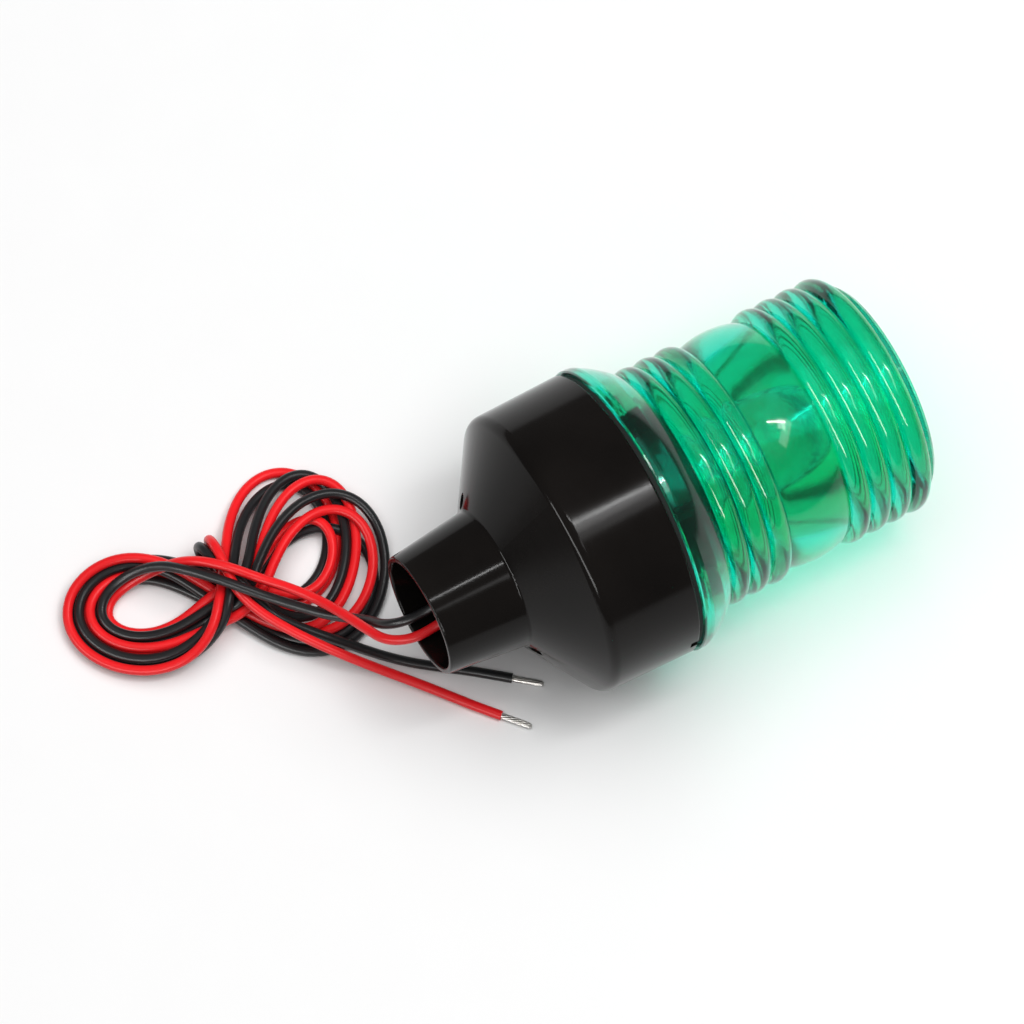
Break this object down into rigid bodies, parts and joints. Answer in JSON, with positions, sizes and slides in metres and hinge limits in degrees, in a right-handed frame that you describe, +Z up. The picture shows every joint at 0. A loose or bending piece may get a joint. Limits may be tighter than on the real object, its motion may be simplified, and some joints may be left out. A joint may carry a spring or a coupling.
{
  "type": "navigation light",
  "caption": "All-round green navigation light with a ribbed prism lens, a flared pole-top housing, a bayonet bulb inside and a bound hank of red and black leads.",
  "frame": {"origin": "on the floor under the middle of the lamp, which lies on its side; the leads are left out of the middle", "axes": "+Z up, +X from the pole socket towards the lens end, +Y to the side the leads are laid on"},
  "size_m": [0.1868, 0.0923, 0.0699],
  "materials": {
    "housing_black": "glossy black moulded plastic",
    "holder_black": "satin black moulded plastic",
    "lens_green": "clear emerald green moulded plastic, polished",
    "seal_rubber": "matt black rubber",
    "red_pvc": "red PVC wire insulation",
    "black_pvc": "black PVC wire insulation",
    "tinned_copper": "tinned copper strands",
    "brass_plated": "nickel-free stamped brass",
    "spring_steel": "spring wire",
    "screw_steel": "stainless screws",
    "bulb_glass": "clear blown glass",
    "insulator_tan": "pressed insulating board",
    "tungsten": "tungsten wire"
  },
  "bodies": {
    "base": {"housing": "housing_black", "lamp_holder": "holder_black", "holder_screws": "screw_steel", "socket_shell": "brass_plated", "socket_base": "insulator_tan", "contact_guide": "insulator_tan", "red_plunger_spring": "spring_steel", "black_plunger_spring": "spring_steel", "red_tag": "brass_plated", "black_tag": "brass_plated", "lens_seal": "seal_rubber", "lead_grommet": "seal_rubber", "red_inner_lead": "red_pvc", "black_inner_lead": "black_pvc", "red_lead": "red_pvc", "black_lead": "black_pvc", "red_tail": "red_pvc", "black_tail": "black_pvc", "red_strands": "tinned_copper", "black_strands": "tinned_copper", "lead_hank": "black_pvc"},
    "lens_cap": {"lens": "lens_green"},
    "bulb": {"bulb_cap": "brass_plated", "bulb_pins": "brass_plated", "bulb_insulator": "insulator_tan", "bulb_contacts": "tinned_copper", "bulb_glass": "bulb_glass", "bulb_stem": "bulb_glass", "filament_posts": "spring_steel", "filament": "tungsten"},
    "plungers": {"red_plunger": "brass_plated", "black_plunger": "brass_plated"}
  },
  "joints": [
    {"name": "lens_twist", "type": "hinge", "parent": "base", "child": "lens_cap", "pos_m": [-0.00727, 0, 0.03448], "axis": [0.9954, 0, -0.0961], "range_deg": [0, 35]},
    {"name": "bulb_press", "type": "slide", "parent": "base", "child": "bulb", "axis": [-0.9954, 0, 0.0961], "range_m": [0, 0.0015], "stiffness_N_per_m": 2000, "springref_m": -0.0015},
    {"name": "plunger_press", "type": "slide", "parent": "base", "child": "plungers", "axis": [-0.9954, 0, 0.0961], "range_m": [0, 0.0015], "deforming": ["red_plunger_spring", "black_plunger_spring"]}
  ],
  "couplings": [
    {"joint": "plunger_press", "follows": "bulb_press", "ratio": 1}
  ]
}
